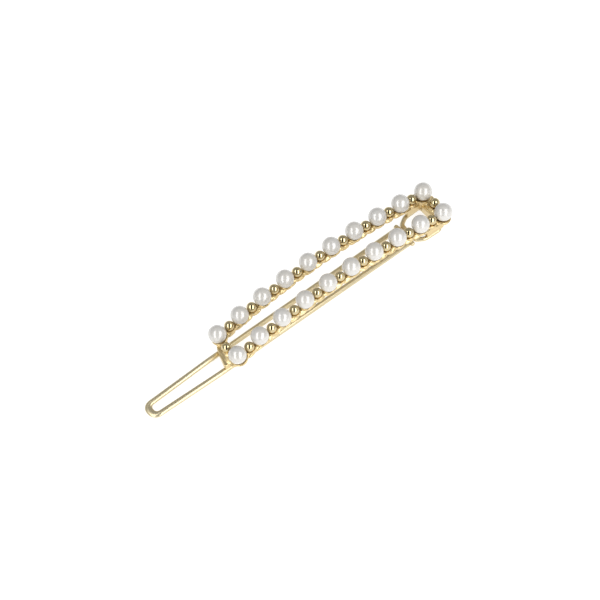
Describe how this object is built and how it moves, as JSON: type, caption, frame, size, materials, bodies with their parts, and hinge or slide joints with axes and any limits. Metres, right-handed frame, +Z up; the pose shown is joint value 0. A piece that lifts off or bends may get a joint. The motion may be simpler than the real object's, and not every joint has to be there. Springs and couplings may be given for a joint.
{
  "type": "hair barrette",
  "caption": "Arched hair slide: a metal frame set with rows of imitation pearls and small metal beads, closed by a hinged U-shaped wire tongue.",
  "frame": {"origin": "on the surface that the wires rest on, below the middle of the whole length", "axes": "+X along the length towards the hinge end, +Z up towards the pearls, +Y across the two rows"},
  "size_m": [0.08, 0.011, 0.0109],
  "materials": {
    "pearl": "pearl lacquer, glossy",
    "bead_metal": "polished pale gold plate",
    "cast_metal": "polished pale gold plate, cast surface",
    "wire_metal": "polished pale gold plate, drawn wire"
  },
  "bodies": {
    "frame": {"bead_01": "bead_metal", "bead_02": "bead_metal", "bead_03": "bead_metal", "bead_04": "bead_metal", "bead_05": "bead_metal", "bead_06": "bead_metal", "bead_07": "bead_metal", "bead_08": "bead_metal", "bead_09": "bead_metal", "bead_10": "bead_metal", "bead_11": "bead_metal", "bead_12": "bead_metal", "bead_13": "bead_metal", "bead_14": "bead_metal", "bead_15": "bead_metal", "bead_16": "bead_metal", "bead_17": "bead_metal", "bead_18": "bead_metal", "bead_19": "bead_metal", "bead_20": "bead_metal", "frame": "cast_metal", "hinge_pin": "wire_metal", "pearl_01": "pearl", "pearl_02": "pearl", "pearl_03": "pearl", "pearl_04": "pearl", "pearl_05": "pearl", "pearl_06": "pearl", "pearl_07": "pearl", "pearl_08": "pearl", "pearl_09": "pearl", "pearl_10": "pearl", "pearl_11": "pearl", "pearl_12": "pearl", "pearl_13": "pearl", "pearl_14": "pearl", "pearl_15": "pearl", "pearl_16": "pearl", "pearl_17": "pearl", "pearl_18": "pearl", "pearl_19": "pearl", "pearl_20": "pearl", "spring_bow": "wire_metal"},
    "tongue": {"tongue": "wire_metal"}
  },
  "joints": [
    {"name": "tongue_hinge", "type": "hinge", "parent": "frame", "child": "tongue", "pos_m": [0.0297, 0, 0.0006], "axis": [0, -1, 0], "range_deg": [0, 90]}
  ]
}
